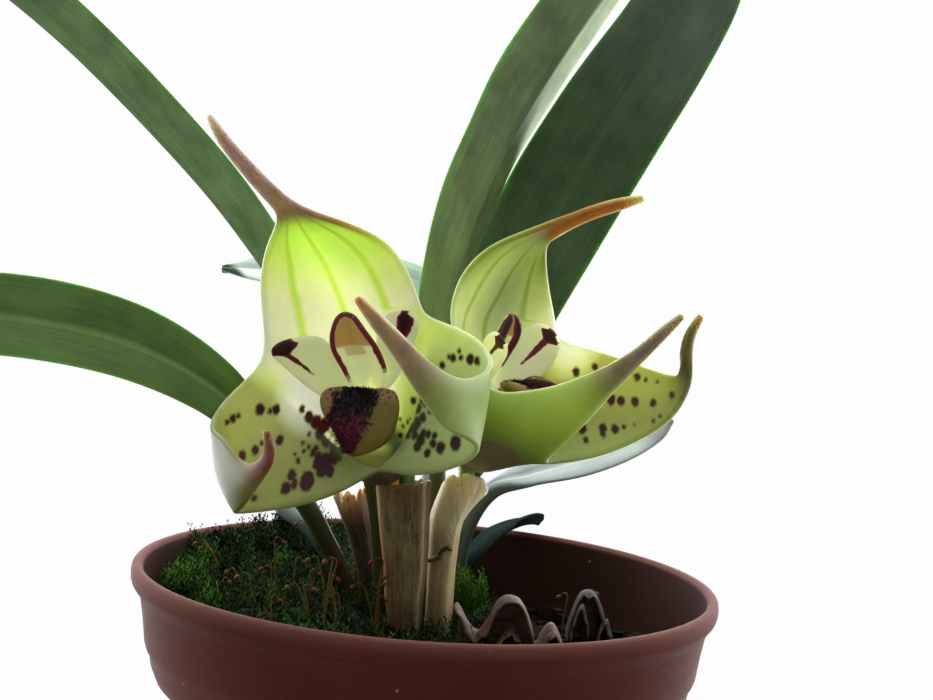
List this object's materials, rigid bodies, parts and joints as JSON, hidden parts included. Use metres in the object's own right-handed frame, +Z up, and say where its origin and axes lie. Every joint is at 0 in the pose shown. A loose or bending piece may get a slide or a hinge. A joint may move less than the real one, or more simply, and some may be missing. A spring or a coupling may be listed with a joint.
{
  "type": "potted masdevallia orchid",
  "caption": "Small tufted orchid with long strap leaves and cup-shaped blooms drawn out into tails, growing in moss and bark mix in a round moulded nursery pot.",
  "frame": {"origin": "centre of the pot's underside, on the flat pad that stands level with its foot ring", "axes": "+X to the right and +Z up as the plant is seen from the front, +Y towards its back"},
  "size_m": [0.1884, 0.105, 0.2347],
  "materials": {
    "pot_plastic": "semi-gloss moulded polypropylene, red-brown",
    "bark_mix": "damp, near-black bark mix",
    "moss": "living moss, matt dark green",
    "leaf_green": "fleshy green leaf, satin",
    "leaf_dark": "fleshy dark green leaf, satin",
    "leaf_pale": "fleshy leaf that shines pale",
    "sepal": "yellow-green fleshy sepal, satin, spotted dark maroon in the scene",
    "petal": "cream-green petal and column, satin",
    "lip": "blackish maroon lip, velvety",
    "sheath": "dry papery sheath, straw brown",
    "sheath_old": "old dry sheath, grey-brown",
    "dead_leaf": "dried leaf, tan brown",
    "dead_leaf_dark": "dried leaf, near black"
  },
  "bodies": {
    "root": {"pot": "pot_plastic", "potting_mix": "bark_mix", "moss_carpet": "moss", "leaf_high_left": "leaf_green", "leaf_low_left": "leaf_green", "leaf_centre": "leaf_green", "leaf_broad_right": "leaf_dark", "leaf_behind": "leaf_pale", "leaf_low_right": "leaf_pale", "leaf_short_left": "leaf_pale", "leaf_short_right": "leaf_green", "bloom_front_sepals": "sepal", "bloom_front_column": "petal", "bloom_front_lip": "lip", "bloom_back_sepals": "sepal", "bloom_back_column": "petal", "bloom_back_lip": "lip", "sheath_front": "sheath", "sheath_right": "sheath", "sheath_old": "sheath_old", "dead_leaf": "dead_leaf", "dead_leaf_dark": "dead_leaf_dark"}
  },
  "joints": []
}
